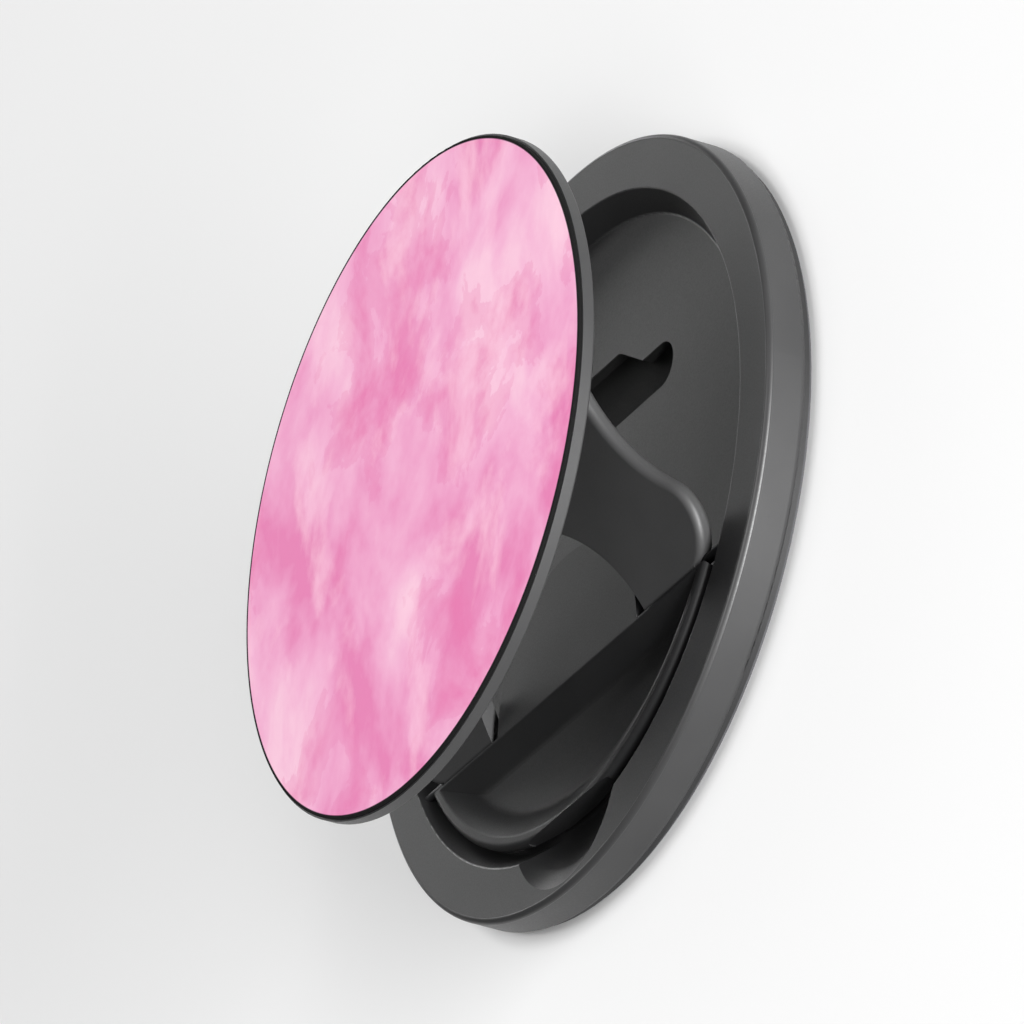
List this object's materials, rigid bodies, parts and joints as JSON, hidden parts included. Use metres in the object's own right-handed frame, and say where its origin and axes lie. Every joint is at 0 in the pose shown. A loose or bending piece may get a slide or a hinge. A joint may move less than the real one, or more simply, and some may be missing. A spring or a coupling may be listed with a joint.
{
  "type": "magnetic phone grip",
  "caption": "Round magnetic phone grip: a slim base with a recess, a folding arm hinged in the recess, and a parallel printed disc that pops out as a finger hold.",
  "frame": {"origin": "middle of the flat back face that meets the phone", "axes": "+Z out of the back face towards the disc, +Y from the finger notch towards the upper hinge pocket, +X along the hinge axes"},
  "size_m": [0.0558, 0.0558, 0.016],
  "materials": {
    "black_housing": "fine satin moulded plastic",
    "black_mechanism": "semi-gloss moulded plastic",
    "black_disc": "satin moulded plastic",
    "grey_pad": "soft matt pad",
    "steel": "bright drawn steel",
    "nickel": "nickel plated",
    "pink_print": "pink watercolour print under clear satin plastic"
  },
  "bodies": {
    "base_unit": {"base_housing": "black_housing", "steel_shunt_ring": "steel", "magnet_segments": "nickel", "back_cover": "black_housing", "grip_pad": "grey_pad", "scoop_plate": "black_mechanism", "arm_hinge_pins": "steel"},
    "arm_unit": {"arm": "black_mechanism", "disc_hinge_pin": "steel"},
    "disc_unit": {"disc_carrier": "black_mechanism", "carrier_screws": "steel", "disc_body": "black_disc", "print_insert": "pink_print"}
  },
  "joints": [
    {"name": "arm_fold", "type": "hinge", "parent": "base_unit", "child": "arm_unit", "pos_m": [0, -0.01135, 0.00305], "axis": [1, 0, 0], "range_deg": [-31.05, 0]},
    {"name": "disc_tilt", "type": "hinge", "parent": "arm_unit", "child": "disc_unit", "pos_m": [0, 0.00527, 0.01306], "axis": [1, 0, 0], "range_deg": [0, 31.05]}
  ],
  "couplings": [
    {"joint": "disc_tilt", "follows": "arm_fold", "ratio": -1}
  ]
}
